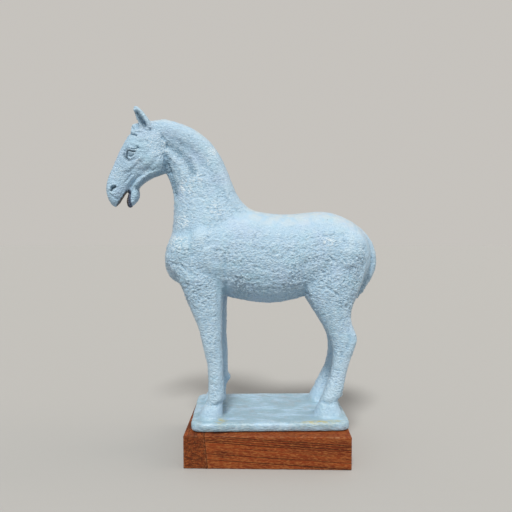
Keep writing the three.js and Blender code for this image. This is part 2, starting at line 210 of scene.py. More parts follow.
faceStrokes = {
    "cheekbone": ([(-155, 275), (-149, 278.8), (-144, 283), (-137, 288)], 2.4, 0.8),
    "under cheekbone": ([(-155.6, 271.6), (-150.8, 274), (-146.5, 276.4), (-142.4, 280.8)], 1.7, -0.55),
    "cheek muscle": ([(-140.6, 275), (-134, 274.8), (-127.4, 278.6), (-122.8, 284),
                      (-120, 289)], 1.8, -0.5),
    "cheek swell": ([(-133, 282), (-128, 287), (-125, 294)], 3.2, 0.6),
    "cheek dimple": ([(-139.6, 284.4), (-138, 282.6)], 1.4, -0.8),
    "jaw cord": ([(-148, 256.5), (-145.8, 260.2), (-142, 264.2), (-136.4, 268.4)], 1.1, 1.1),
    "above jaw cord": ([(-151, 258), (-147.4, 262.3), (-144, 266.4), (-140, 269.4)], 1.1, -1.2),
    "second cord": ([(-153.6, 261), (-149.6, 265.6), (-146, 269.4)], 1.0, 0.6),
    "above second cord": ([(-156, 262.4), (-152.4, 266.6), (-148.6, 270.6)], 1.0, -0.7),
    "jaw edge": ([(-143.6, 259.4), (-140, 263.4), (-135.5, 268), (-131, 271.3), (-124.5, 274),
                  (-118, 276)], 1.3, 1.2),
    "under the jaw": ([(-142.6, 255.6), (-139, 259.6), (-134.6, 263.4), (-130, 266.4), (-124, 269),
                       (-117, 271.4)], 2.4, -2.9),
    "nostril": ([(-170.4, 253.8), (-169.2, 256.2), (-166.6, 257.6)], 1.3, -2.9),
    "nostril rim": ([(-172.6, 255), (-171, 258.8), (-167.4, 260.4), (-164.2, 258.4)], 1.1, 0.8),
    "nostril fold": ([(-171.4, 251.8), (-169.2, 249.8), (-166.6, 250.4)], 1.0, 0.7),
    "lip crease": ([(-171.6, 249.6), (-168.2, 246.4), (-164.6, 244.6)], 1.2, -0.6),
    "upper lip": ([(-156, 254.4), (-160.4, 247.6), (-165, 241.4)], 1.1, 0.4),
    "jaw front": ([(-153.4, 250), (-153.4, 242.6), (-151.8, 237)], 2.2, -2.2),
    "chin": ([(-147.6, 251), (-146.6, 245.6), (-147.6, 240)], 1.6, 0.6),
    "under the forelock": ([(-151.4, 314.6), (-147.6, 313.4), (-142.6, 311.8)], 0.9, -2.0),
    "forelock lip": ([(-150, 317), (-145, 316.4), (-139, 316.6)], 1.3, 1.0),
    "forelock lock": ([(-148.6, 322), (-147, 319.4), (-146.6, 317.6)], 0.8, -0.9),
    "forelock top": ([(-147.4, 323.6), (-143, 324.6)], 1.2, 0.8),
    "temple hollow": ([(-138, 304), (-134.5, 305.4), (-131, 304.2)], 2.2, -0.6),
    "ear hollow": ([(-142.4, 334), (-138.6, 328), (-134.2, 321.6)], 2.3, -3.0),
    "ear front rim": ([(-144.4, 338.4), (-143.2, 331), (-140, 324.4), (-135.6, 319.2)], 1.0, 0.8),
    "ear back rim": ([(-139.6, 338.8), (-134, 333), (-130, 326), (-127.8, 320.4)], 1.3, 0.6),
    "ear root": ([(-134.6, 317.8), (-131, 316.2), (-127.4, 317.2)], 1.1, -0.9),
}

neckStrokes = {
    "throat latch": ([(-113, 291), (-110.9, 285), (-110.2, 279), (-108.4, 273)], 3.0, -2.4),
    "windpipe": ([(-108, 273), (-105.6, 266), (-102.6, 258), (-101, 248)], 4.6, -1.5),
    "behind the ear": ([(-115, 309.5), (-112, 305.6), (-110.4, 301)], 2.0, -1.2),
    "under the mane": ([(-110, 301), (-104, 297.6), (-97.6, 293.4), (-91.4, 288.6), (-86.6, 282),
                        (-82, 272)], 3.8, -2.4),
    "neck cord": ([(-110, 293), (-105, 288.4), (-99.6, 283), (-95.4, 275.6), (-92, 266)], 3.0, 1.2),
}

bodyStrokes = {
    "breast line": ([(-104, 176), (-95.2, 174.4), (-89.6, 169.2), (-84.6, 166.4)], 1.3, -1.2),
    "breast fold": ([(-113.6, 172), (-107.6, 166), (-101, 161)], 2.2, -1.4),
    "shoulder swell": ([(-92, 190), (-83, 198), (-73, 207)], 7, 1.2),
    "shoulder furrow": ([(-88, 183), (-78, 190), (-68, 197)], 4.5, -0.9),
    "elbow patch": ([(-61.5, 173), (-55, 171)], 4.6, 0.35),
    "elbow crease": ([(-66, 164.6), (-60, 163.4), (-54, 163.8)], 1.2, -0.35),
    "behind the elbow": ([(-50.4, 186), (-49.2, 170), (-48.6, 156), (-48.4, 144)], 2.4, -1.1),
    "thigh front": ([(32, 178), (33.4, 170), (35.2, 156), (38, 144)], 2.2, -0.9),
    "tail cleft": ([(94.3, 218.4), (104.6, 205.6), (112, 190), (114.2, 175.6), (110.6, 155.6),
                    (101.4, 139)], 1.4, -0.9),
    "beside the tail": ([(98, 204), (105.6, 190), (107.4, 175), (104, 158)], 3.6, 0.7),
    "fore pastern": ([(-69, 25.8), (-62, 24.6), (-54, 25.8)], 1.8, -0.9),
    "hind pastern": ([(55, 25), (64, 24), (73, 25.4)], 1.8, -0.9),
    "fore fetlock": ([(-69, 30.6), (-62, 29.6), (-54, 31)], 2.4, 0.7),
    "hind fetlock": ([(57, 30), (65, 29.2), (73, 31)], 2.4, 0.7),
    "hock hollow": ([(82, 104), (85.6, 94), (82, 84)], 2.6, -1.0),
    "hock point": ([(90.6, 97.5), (91.4, 91)], 3.2, 0.7),
    "hind tendon": ([(76.4, 78), (74, 62), (70, 46)], 3.0, -0.5),
    "fore tendon": ([(-57.4, 116), (-57.6, 96), (-57, 74)], 2.6, -0.45),
    "knee": ([(-66, 92), (-65, 82)], 4.2, 0.7),
}

# The groups of strokes: how far each wanders off its path, in mm, and how unevenly it is pressed.
strokeGroups = [
    (eyeStrokes, 0.15, 0.3),
    (faceStrokes, 0.6, 0.7),
    (neckStrokes, 1.4, 0.4),
    (bodyStrokes, 1.2, 1.0),
]

# No stroke of the tool is quite straight, or pressed evenly. Sizes are in mm.
hand = {
    "shakeSize": 2.5,
    "pressSize": 6,
    "pressBy": 0.9,
    "pressLimits": (0.4, 1.5),
    "crackWidth": 0.7,
    "crackWander": 0.7,
}

# Cracks where the plaster dragged as it set: path and depth in mm.
cracks = [
    ([(-22, 194), (-12.6, 190), (1.2, 199.4)], 0.6),
    ([(-33, 187), (-24, 181.6), (-14, 186)], 0.5),
    ([(-4, 184), (6, 180), (19, 186.4)], 0.5),
    ([(8, 203), (16, 200.6), (25, 203.4)], 0.4),
    ([(41, 188.4), (48, 188.6), (55, 189.4)], 0.9),
    ([(61, 183.6), (66.5, 177.3)], 0.9),
    ([(41.7, 184.4), (45.9, 176.2)], 0.8),
    ([(57, 151.8), (63.5, 147), (70.7, 142.5)], 0.8),
    ([(54, 205), (60, 204.4)], 0.7),
    ([(75.4, 180), (78.6, 176.6)], 0.8),
    ([(-86, 244), (-77, 247), (-70, 244.6)], 0.6),
    ([(-64, 236), (-55, 233), (-48, 236)], 0.5),
    ([(-71, 205), (-66, 203.6)], 0.8),
    ([(-70, 141), (-64.4, 139)], 0.9),
    ([(-66, 122), (-60.6, 119.6), (-57.6, 123)], 0.8),
]


def awayFrom(spot, path):
    # Distance in the side view from each point to a path.
    flat = spot[:, [0, 2]]
    nearest = np.full(len(flat), 1e9)
    for start, end in zip(path, path[1:]):
        start = np.array(start)
        along = np.array(end) - start
        t = np.clip(((flat - start) @ along) / (along @ along), 0, 1)
        nearest = np.minimum(nearest, np.linalg.norm(flat - start - t[:, None] * along, axis=1))
    return nearest


def weldedCasting():
    # The forms are joined into one skin, and only its inner corners are filled, as wet plaster fills them.
    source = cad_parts["horse"]
    piece = newPiece("horse_casting", source.data.copy())
    afterModifier(piece, "REMESH", mode="VOXEL", voxel_size=casting["weldVoxel"] * mm)
    mesh = piece.data
    edges = edgesOf(mesh)
    points = pointsOf(mesh)
    spot = toHorse(points)
    onHead = smoothStep(-spot[:, 0], 108, 120) * smoothStep(spot[:, 2], 225, 240)
    onSlab = 1 - smoothStep(spot[:, 2], casting["slabTop"] + 5, casting["slabTop"] + 12)
    strength = (1 - casting["headKept"] * onHead) * (1 - casting["slabKept"] * onSlab)
    for step in range(casting["filletPasses"]):
        if step % 4 == 0:
            setPoints(mesh, points)
            normals = normalsOf(mesh)
        pull = neighbourMean(points, edges) - points
        hollow = smoothStep(np.einsum("ij,ij->i", pull, normals) / mm, *casting["hollow"])
        points = points + 0.5 * (strength * hollow)[:, None] * pull
    soft = evened(points, edges, casting["evenPasses"])
    setPoints(mesh, points + (soft - points) * (1 - casting["slabFacets"] * onSlab)[:, None])
    return piece


ears = {
    "base": (-130, 318),     # u and w in mm, as in the strokes
    "tip": (-143.8, 342),
    "reach": 7,
    "thicker": 1.25,
    "longer": 1.7,
}


def growEars(piece):
    # Welding wears the ears thin and short, so they are built up again.
    mesh = piece.data
    points = pointsOf(mesh)
    normals = normalsOf(mesh)
    spot = toHorse(points)
    base, tip = np.array(ears["base"]), np.array(ears["tip"])
    along = (tip - base) / np.linalg.norm(tip - base)
    onAxis = (spot[:, [0, 2]] - base) @ along
    t = np.clip(onAxis / np.linalg.norm(tip - base), 0, 1)
    near = 1 - smoothStep(awayFrom(spot, [ears["base"], ears["tip"]]), ears["reach"], ears["reach"] + 2)
    near *= smoothStep(np.abs(spot[:, 1]), 3, 6) * smoothStep(onAxis, -3, 3)
    points = points + normals * (near * ears["thicker"] * mm)[:, None]
    spot = toHorse(points)
    lengthen = near * t ** 2 * ears["longer"]
    spot[:, 0] += lengthen * along[0]
    spot[:, 2] += lengthen * along[1]
    setPoints(mesh, toWorld(spot))


face = {"behind": -134, "above": 233, "below": 304}     # mm, the part of the head with the finest cuts


def inFace(spot):
    return (spot[:, 0] < face["behind"]) & (spot[:, 2] > face["above"]) & (spot[:, 2] < face["below"])


def finerFace(piece):
    # Twice the mesh lines where the eye, nostril and mouth are cut.
    chosen = inFace(toHorse(pointsOf(piece.data)))
    bm = bmesh.new()
    bm.from_mesh(piece.data)
    edges = [edge for edge in bm.edges if chosen[edge.verts[0].index] and chosen[edge.verts[1].index]]
    bmesh.ops.subdivide_edges(bm, edges=edges, cuts=1, use_grid_fill=True)
    bm.to_mesh(piece.data)
    bm.free()


def sculptForms(piece):
    mesh = piece.data
    points = pointsOf(mesh)
    normals = normalsOf(mesh)
    spot = toHorse(points)
    outward = turned(*normals.T)[:, 1] * np.sign(spot[:, 1])
    facing = smoothStep(outward, 0.12, 0.55)
    lift = np.zeros(len(points))
    shake = field(spot, hand["shakeSize"], 31)
    press = np.clip(1 + hand["pressBy"] * field(spot, hand["pressSize"], 32), *hand["pressLimits"])
    for strokes, wander, uneven in strokeGroups:
        for path, width, out in strokes.values():
            away = awayFrom(spot, path) + wander * shake
            lift += out * np.exp(-(away / width) ** 2) * (1 + uneven * (press - 1))
    for path, depth in cracks:
        away = awayFrom(spot, path) + hand["crackWander"] * shake
        lift -= depth * np.exp(-(away / hand["crackWidth"]) ** 2)
    setPoints(mesh, points + normals * (lift * facing * mm)[:, None])


crust = {
    "dab": (3.0, 2.5, 1.7),     # mm, one dab of plaster, longest along the body
    "dabForm": (0.5, 0.75, 0.35, 0.45),      # own height, lean, ground, roundness
    "crumb": (1.7, 1.4, 1.1),
    "crumbForm": (0.35, 0.35, 0.2, 0.4),
    "grain": 1.0,
    "grainHeight": 0.4,
    "sunk": 0.2,                # so that the crust is level with the form on the whole
    "bend": 3.6,                # mm, the dabs' outlines wander
    "bendBy": 1.2,
    "patch": (9, 8, 6),         # where dabs stand thick, and where they were wiped flat
    "place": (20, 16, 14),      # some places were dabbed more than others
    "placeLimits": (0.35, 1.5),
    "slabMarks": [              # a wide brush's streaks and untrue edges: height, size, seed
        (0.2, (14, 2.2, 9), 8),
        (0.4, 22, 9),
        (0.12, 2.2, 10),
    ],
    "flank": 0.66,              # mm, how proud the dabs stand on flank, shoulder and thigh
    "neck": 0.56,
    "groove": 0.62,             # under the mane
    "foreleg": 0.46,
    "hindLeg": 0.38,
    "head": 0.33,
    "smooth": 0.24,             # back, crest, hocks, and the band beside the tail
}


# Where each part of the body fades in, in mm along it from its middle, or up from the plinth.
zones = {
    "slabUp": (1, 7),             # from the slab's top
    "headAlong": (106, 116),
    "headUp": (232, 252),
    "neckAlong": (20, 50),
    "neckUp": (205, 235),
    "forelegUp": (118, 150),
    "hindLegUp": (112, 140),
    "backFacing": (0.3, 0.8),     # how far the surface looks up
    "backUp": (190, 215),
    "crestUp": (232, 250),
    "crestLine": (200, 222),      # the clipped mane's lower side slopes
    "crestSlope": 0.95,
    "tailAlong": (110, 114),
    "tailUp": (130, 140),
    "foreBandUp": (150, 165),
    "hoofUp": (21, 25),
    "lowFlankUp": (160, 196),
    "bellyUp": (128, 140),
    "highFlankUp": (186, 204),
}

# Spots that were wiped smooth: u, w, and reach along and up.
wipedSpots = {"hock": (88, 94, 8, 11), "elbow": (-57, 172, 6, 6)}


def wipedSpot(u, w, name):
    cu, cw, along, up = wipedSpots[name]
    return np.exp(-((u - cu) / along) ** 2 - ((w - cw) / up) ** 2)


def bodyParts(spot, normals):
    u, w = spot[:, 0], spot[:, 2]
    z = zones
    slab = 1 - smoothStep(w, *(casting["slabTop"] + up for up in z["slabUp"]))
    head = smoothStep(-u, *z["headAlong"]) * smoothStep(w, *z["headUp"])
    neck = smoothStep(w, *z["neckUp"]) * smoothStep(-u, *z["neckAlong"]) * (1 - head)
    fore = (1 - smoothStep(w, *z["forelegUp"])) * (u < 0)
    hind = (1 - smoothStep(w, *z["hindLegUp"])) * (u > 0)
    back = smoothStep(normals[:, 2], *z["backFacing"]) * smoothStep(w, *z["backUp"]) * (1 - head)
    crest = smoothStep(w - z["crestSlope"] * (-u - 20), *z["crestLine"])
    crest = crest * smoothStep(w, *z["crestUp"]) * (1 - head)
    groove = np.exp(-(awayFrom(spot, neckStrokes["under the mane"][0]) / 4.4) ** 2)
    hock, elbow = wipedSpot(u, w, "hock"), wipedSpot(u, w, "elbow")
    besideTail = np.exp(-(awayFrom(spot, bodyStrokes["beside the tail"][0]) / 5) ** 2)
    tail = smoothStep(u + 0.1 * (w - 175), *z["tailAlong"]) * smoothStep(w, *z["tailUp"])
    ball = np.exp(-(np.hypot(u + 149.2, w - 292.3) / 3) ** 4)
    foreBand = smoothStep(u, -60, -56) * (u < -40) * (1 - smoothStep(w, *z["foreBandUp"]))
    hoof = 1 - smoothStep(w, *z["hoofUp"])
    smooth = back + 0.45 * crest + hock + 0.7 * elbow + besideTail + 0.8 * tail
    smooth = smooth + 0.6 * foreBand + ball + 0.7 * hoof
    return {"slab": slab, "head": head, "neck": neck, "groove": groove, "foreleg": fore, "hindLeg": hind,
            "smooth": np.clip(smooth, 0, 1) * (1 - groove)}


def crustHeight(parts, spot):
    height = np.full(len(spot), crust["flank"])
    for name in ("neck", "foreleg", "hindLeg", "head", "groove", "smooth"):
        height = height * (1 - parts[name]) + crust[name] * parts[name]
    body = (1 - parts["neck"]) * (1 - parts["head"])
    w = spot[:, 2]
    lowFlank = (1 - smoothStep(w, *zones["lowFlankUp"])) * smoothStep(w, *zones["bellyUp"])
    highFlank = smoothStep(w, *zones["highFlankUp"]) * body
    height *= (1 + 0.35 * lowFlank) * (1 - 0.35 * highFlank)
    height *= np.clip(0.9 + 0.9 * field(spot, crust["place"], 1), *crust["placeLimits"])
    wiped = smoothStep(field(spot, crust["patch"], 5), -0.45, 0.25)
    height *= 1 - (0.25 + 0.4 * highFlank) * (1 - wiped)
    return height * (1 - parts["slab"])


def dabbed(spot, name, seed):
    # Each dab was dragged up with the brush, so it is a little ledge, proudest along its lower side, and
    # it ends there in a small step.
    away, lot, lean = cells(spot, crust[name], seed)
    own, leaning, ground, roundness = crust[name + "Form"]
    return own * lot + leaning * lean + ground - roundness * away ** 2


def plasterCrust(piece):
    mesh = piece.data
    points = pointsOf(mesh)
    normals = normalsOf(mesh)
    spot = toHorse(points)
    parts = bodyParts(spot, normals)
    height = crustHeight(parts, spot)
    bend = np.stack([field(spot, crust["bend"], seed) for seed in (2, 3, 4)], axis=1)
    bent = spot + crust["bendBy"] * bend
    grains = crust["grainHeight"] * field(spot, crust["grain"], 7)
    lift = height * (dabbed(bent, "dab", 1) + dabbed(bent, "crumb", 2) + grains - crust["sunk"])
    streaks = sum(high * field(spot, size, seed) for high, size, seed in crust["slabMarks"])
    lift += parts["slab"] * streaks
    lift *= smoothStep(spot[:, 2], 0.2, 1.5)     # the underside stays flat
    setPoints(mesh, points + normals * (lift * mm)[:, None])


def thinned(piece):
    # Fewer triangles on the body, so that the head and face keep their edges.
    afterModifier(piece, "TRIANGULATE")
    mesh = piece.data
    spot = toHorse(pointsOf(mesh))
    weight = np.where((spot[:, 0] < -106) & (spot[:, 2] > 232), casting["headShare"], 1.0)
    weight = np.where(inFace(spot), casting["faceShare"], weight)
    group = piece.vertex_groups.new(name="thin")
    for value in np.unique(weight):
        group.add(np.nonzero(weight == value)[0].tolist(), float(value), "REPLACE")
    afterModifier(piece, "DECIMATE", ratio=casting["triangles"] / len(mesh.polygons), vertex_group="thin")
    piece.vertex_groups.clear()
    keepInside(piece.data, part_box("horse"))


# Lines in the side view that the paint follows, and how far from each it starts and stops fading.
paintLines = {
    "lip": ([(-152.6, 253.4), (-157.4, 247.4), (-163.6, 239)], (3.2, 4.6)),
    "lip edge": ([(-156, 254.6), (-160.4, 248), (-166, 240)], (1.6, 3.2)),
    "jaw": ([(-153, 252), (-153.4, 244), (-152.2, 235.4)], (2.2, 3.4)),
}
# The throat's path, along which the paint is darkened as painted shade.
throat = {"path": [(-111, 284), (-109, 272), (-104.8, 262), (-102.4, 252)], "width": 3.8}

# Cuts painted dark as shade: the stroke, the width in mm, and how much.
darkCuts = [
    (eyeStrokes["lid edge"], 0.9, 0.6),
    (eyeStrokes["socket"], 1.7, 0.5),
    (eyeStrokes["brow crease"], 0.8, 0.35),
    (eyeStrokes["below the ball"], 0.7, 0.3),
    (faceStrokes["ear hollow"], 2.8, 0.5),
    (faceStrokes["under the forelock"], 1.0, 0.4),
    (faceStrokes["under the jaw"], 2.6, 0.42),
]

# Where whitish specks are painted on the crust as glints: u, w and reach.
glintPlaces = [
    (-121, 304, 12), (-118, 296, 8), (-140, 282, 6), (-163, 272, 8),
    (-62, 296, 5), (-70, 284, 6), (-78, 266, 6), (-90, 258, 8), (-60, 233, 8),
    (-94, 220, 8), (-101, 200, 11), (60, 198, 7),
]


# Yellow moss-like smears on the slab's near edge, by the two near hooves: u and v, reach along and across,
# how blunt the ends are, and how much.
smears = [
    ((52, -46.5), (20, 3.0), 4, 1),
    ((-54.6, -38), (3.6, 8), 2, 0.8),
]


def fadeFrom(spot, name):
    path, (near, far) = paintLines[name]
    return smoothStep(awayFrom(spot, path), near, far)


def storeSurfaceMasks(mesh):
    points = pointsOf(mesh)
    normals = normalsOf(mesh)
    edges = edgesOf(mesh)
    spot = toHorse(points)
    parts = bodyParts(spot, normals)
    u, v, w = spot.T
    for name, passes in (("crevice", 3), ("dip", 14)):     # positive in hollows, in mm
        filled = evened(points, edges, passes)
        hollow = np.einsum("ij,ij->i", filled - points, normals) / mm
        storeMask(mesh, name, hollow * (1 + parts["head"]))     # the head's mesh is finer, its hollows less
    rough = np.clip(1 - parts["smooth"] - parts["slab"] - 0.4 * parts["head"], 0, 1)
    storeMask(mesh, "rough", rough)
    storeMask(mesh, "slab", parts["slab"])
    storeMask(mesh, "groove", parts["groove"])
    storeMask(mesh, "throat", np.exp(-(awayFrom(spot, throat["path"]) / throat["width"]) ** 2))
    outward = turned(*normals.T)[:, 1] * np.sign(v)
    inLip = 1 - fadeFrom(spot, "lip")
    onJaw = 1 - fadeFrom(spot, "jaw")
    clearOfLip = fadeFrom(spot, "lip edge")
    inside = 1 - smoothStep(outward, 0.25, 0.6)
    low = w < 256
    storeMask(mesh, "mouth", np.clip(inLip * inside + onJaw * clearOfLip, 0, 1) * low)
    # Painted shade: a dark slate band along the jaw inside the lips.
    storeMask(mesh, "jawShade", onJaw * clearOfLip * smoothStep(u, -154.4, -152.6) * low * (outward > 0.1))
    # Painted shade in the nostril and the deepest cuts.
    shadeInCuts = np.exp(-(awayFrom(spot, faceStrokes["nostril"][0]) / 1.2) ** 2) * (np.abs(v) > 4)
    for (path, _, _), width, amount in darkCuts:
        reached = amount * np.exp(-(awayFrom(spot, path) / width) ** 2)
        shadeInCuts = np.maximum(shadeInCuts, reached)
    storeMask(mesh, "shadeInCuts", shadeInCuts * smoothStep(outward, 0, 0.2))
    # Whitish glints painted in specks at the given places.
    paintedGlint = np.zeros(len(points))
    for cu, cw, reach in glintPlaces:
        paintedGlint = np.maximum(paintedGlint, np.exp(-((u - cu) ** 2 + (w - cw) ** 2) / reach ** 2))
    storeMask(mesh, "paintedGlint", paintedGlint)
    # Paler, greyer tops: partly settled dust, partly painted sheen.
    storeMask(mesh, "dustAndSheen", smoothStep(normals[:, 2], 0.4, 0.95) * (1 - parts["slab"]))
    smeared = np.zeros(len(points))
    for (cu, cv), (along, across), blunt, most in smears:
        smeared += most * np.exp(-((u - cu) / along) ** blunt - ((v - cv) / across) ** 2)
    slabRim = np.exp(-((w - casting["slabTop"] + 0.5) / 2.2) ** 2)
    storeMask(mesh, "stain", slabRim * np.clip(smeared, 0, 1))


def buildHorse():
    piece = weldedCasting()
    print("casting welded")
    growEars(piece)
    afterModifier(piece, "REMESH", mode="VOXEL", voxel_size=casting["fineVoxel"] * mm)
    finerFace(piece)
    setPoints(piece.data, evened(pointsOf(piece.data), edgesOf(piece.data), 2))
    sculptForms(piece)
    print("forms sculpted")
    plasterCrust(piece)
    keepInside(piece.data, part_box("horse"))
    print("crust laid:", len(piece.data.polygons), "faces")
    thinned(piece)
    shadeSmooth(piece.data)
    storeSurfaceMasks(piece.data)
    print("horse:", len(piece.data.polygons), "triangles")
    return piece


def addNode(tree, kind, settings=None, inputs=None):
    # Adds a node; an input is a value, or the socket of another node to link from.
    node = tree.nodes.new(kind)
    for name, value in (settings or {}).items():
        setattr(node, name, value)
    for name, value in (inputs or {}).items():
        if isinstance(value, bpy.types.NodeSocket):
            tree.links.new(value, node.inputs[name])
        else:
            node.inputs[name].default_value = value
    return node


def newMaterial(name):
    material = bpy.data.materials.new(name)
    material.use_nodes = True
    tree = material.node_tree
    tree.nodes.clear()
    output = addNode(tree, "ShaderNodeOutputMaterial")
    return material, tree, output


def layeredColour(tree, place, finish):
    # Colours laid one over the other, as the work was done: the ground, then each layer where masks say.
    socket = {}
    for name in finish["masks"]:
        socket[name] = addNode(tree, "ShaderNodeAttribute", {"attribute_name": name}).outputs["Fac"]
    for i, (name, (size, stretch, detail, rough)) in enumerate(finish["patterns"].items()):
        moved = addNode(tree, "ShaderNodeMapping", None, {
            "Vector": place, "Location": (3 * i, i, 2 * i), "Scale": stretch})
        pattern = addNode(tree, "ShaderNodeTexNoise", None, {
            "Vector": moved.outputs[0], "Scale": 1 / (size * mm), "Detail": detail, "Roughness": rough})
        socket[name] = pattern.outputs["Fac"]
    for name, (source, low, high, most) in finish["ramps"].items():
        ramp = addNode(tree, "ShaderNodeMapRange", {"interpolation_type": "SMOOTHSTEP"}, {
            "Value": socket[source], "From Min": low, "From Max": high, "To Max": most})
        socket[name] = ramp.outputs["Result"]
    colour = toLinear(finish["ground"])
    for names, hexColour in finish["layers"]:
        amount = socket[names[0]]
        for other in names[1:]:
            product = addNode(tree, "ShaderNodeMath", {"operation": "MULTIPLY"}, {
                0: amount, 1: socket[other]})
            amount = product.outputs[0]
        mix = addNode(tree, "ShaderNodeMix", {"data_type": "RGBA"}, {
            0: amount, 6: colour, 7: toLinear(hexColour)})
        colour = mix.outputs[2]
    return colour, socket


# Emulsion paint brushed over rough plaster: powder blue, a little glossy, so every lit edge glints. Its
# colour carries painted shade in the cracks, hollows, deep cuts, throat and mane groove, painted highlights
# on the crust's peaks and the slab's chipped rim, whitish specks painted as glints, and a grey on top that
# is partly settled dust, partly painted sheen.
powderBlue = {
    "ground": "#9cbdd7",
    "masks": ("rough", "slab", "groove", "throat", "stain", "mouth", "jawShade", "shadeInCuts", "paintedGlint", "dustAndSheen",
              "crevice", "dip"),
    "patterns": {     # size in mm, stretch, detail, roughness
        "drift": (26, (1, 1, 1), 2, 0.5),
        "drift2": (21, (1, 1, 1), 2, 0.5),
        "mottle": (5, (1, 1, 1), 3, 0.5),
        "dirt": (9, (1, 1, 1), 4, 0.5),
        "chips": (4, (1, 1, 1), 4, 0.7),
        "specks": (0.9, (0.8, 1, 1), 2, 0.6),
        "smear": (2.4, (0.4, 1, 1), 3, 0.5),
        "wipe": (9, (0.35, 1, 1), 4, 0.65),
        "crumbs": (0.9, (0.8, 1, 1), 3, 0.65),     # real grain is finer; this is as fine as shows
        "brushed": (1.3, (0.25, 1, 1), 3, 0.6),
    },
    "ramps": {        # source, from, to, most
        "lilac": ("drift", 0.46, 0.72, 0.3),
        "cyan": ("drift2", 0.48, 0.74, 0.5),
        "pale": ("mottle", 0.5, 0.74, 0.35),
        "dips": ("dip", 0.3, 1.5, 0.25),
        "cracks": ("crevice", 0.06, 0.3, 0.25),
        "tops": ("crevice", -0.02, -0.12, 1.0),
        "specksOn": ("specks", 0.46, 0.62, 1.0),
        "glintAmount": ("paintedGlint", 0.1, 0.75, 0.75),
        "wearAndHighlight": ("crevice", -0.05, -0.18, 0.5),
        "slabWash": ("wipe", 0.32, 0.58, 0.9),
        "slabDirt": ("dirt", 0.48, 0.72, 0.3),
        "slabEdge": ("dip", -0.15, -0.5, 0.38),
        "chippedAndHighlit": ("chips", 0.42, 0.66, 1.0),
        "stainOn": ("smear", 0.4, 0.56, 1.0),
        "grooveShade": ("crumbs", 0.38, 0.6, 0.8),
        "throatShade": ("mottle", 0.2, 0.6, 0.65),
        "patchyDustAndSheen": ("dirt", 0.3, 0.6, 0.45),
    },
    "layers": [
        (("lilac",), "#a6b9d9"),
        (("cyan",), "#99c0d5"),
        (("pale",), "#b6cfe0"),
        # painted shade: darker blue in the hollows and cracks
        (("dips",), "#6a93af"),
        (("cracks",), "#6a93af"),
        # grey on top: partly settled dust, partly painted sheen
        (("dustAndSheen", "patchyDustAndSheen"), "#c6c9c6"),
        # painted shade in the groove under the mane
        (("groove", "grooveShade"), "#54768d"),
        # painted shade along the throat
        (("throat", "throatShade"), "#567a94"),
        # painted highlight on the crust's peaks
        (("wearAndHighlight", "rough"), "#b6cfe0"),
        # painted glints: whitish specks on the crust's peaks
        (("glintAmount", "tops", "specksOn"), "#e4edf3"),
        (("slab", "slabWash"), "#82a2b4"),
        (("slab", "slabDirt"), "#8f9499"),
        # chipped rim of the slab, partly a painted highlight
        (("slab", "slabEdge", "chippedAndHighlit"), "#b9cdd6"),
        (("stain", "stainOn"), "#b3a22f"),
        (("mouth",), "#2e211c"),
        # painted shade along the jaw inside the mouth
        (("jawShade",), "#43536e"),
        (("shadeInCuts",), "#2f4d60"),      # painted shade: nostril, lids and the other deep cuts
    ],
    "roughness": 0.45,
    "ior": 1.48,
    "sheen": 0.3,            # a thin glossy film over the chalky paint
    "sheenRoughness": 0.2,
    "dab": 2.0,              # mm, the dabs as the brush left them
    "dabStretch": (0.7, 1, 1.1),
    "bend": 3,               # mm, the dabs' outlines wander
    "bendBy": 1.8,
    "dabsOn": (-0.6, -0.9),  # full height on rough places, about a third of it on smooth ones
    "relief": 0.85,          # mm, how deep dabs and crumbs look
    "reliefStrength": 0.95,
}


def paintedPlaster():
    p = powderBlue
    material, tree, output = newMaterial("powder_blue_paint_brushed_on_plaster")
    place = addNode(tree, "ShaderNodeTexCoord").outputs["Object"]
    colour, socket = layeredColour(tree, place, p)
    # The dabs again, sharper than the mesh: bent cells, longest along the body, then the crumbs on them.
    bend = addNode(tree, "ShaderNodeTexNoise", None, {
        "Vector": place, "Scale": 1 / (p["bend"] * mm), "Detail": 1.0})
    bent = addNode(tree, "ShaderNodeVectorMath", {"operation": "MULTIPLY_ADD"}, {
        0: bend.outputs["Color"], 1: (p["bendBy"] * mm,) * 3, 2: place})
    longer = addNode(tree, "ShaderNodeMapping", None, {
        "Vector": bent.outputs[0], "Scale": p["dabStretch"]})
    dabs = addNode(tree, "ShaderNodeTexVoronoi", None, {
        "Vector": longer.outputs[0], "Scale": 1 / (p["dab"] * mm)})
    rough = addNode(tree, "ShaderNodeMapRange", None, {
        "Value": socket["rough"], "From Min": p["dabsOn"][0], "To Max": p["dabsOn"][1]})
    domes = addNode(tree, "ShaderNodeMath", {"operation": "MULTIPLY"}, {
        0: dabs.outputs["Distance"], 1: rough.outputs["Result"]})
    fine = addNode(tree, "ShaderNodeMix", {"data_type": "FLOAT"}, {
        0: socket["slab"], 2: socket["crumbs"], 3: socket["brushed"]})
    height = addNode(tree, "ShaderNodeMath", {"operation": "ADD"}, {
        0: domes.outputs[0], 1: fine.outputs[0]})
    bump = addNode(tree, "ShaderNodeBump", None, {
        "Strength": p["reliefStrength"], "Distance": p["relief"] * mm, "Height": height.outputs[0]})
    shader = addNode(tree, "ShaderNodeBsdfPrincipled", None, {
        "Base Color": colour, "Roughness": p["roughness"], "IOR": p["ior"], "Normal": bump.outputs[0],
        "Coat Weight": p["sheen"], "Coat Roughness": p["sheenRoughness"], "Coat Normal": bump.outputs[0]})
    tree.links.new(shader.outputs[0], output.inputs["Surface"])
    return material


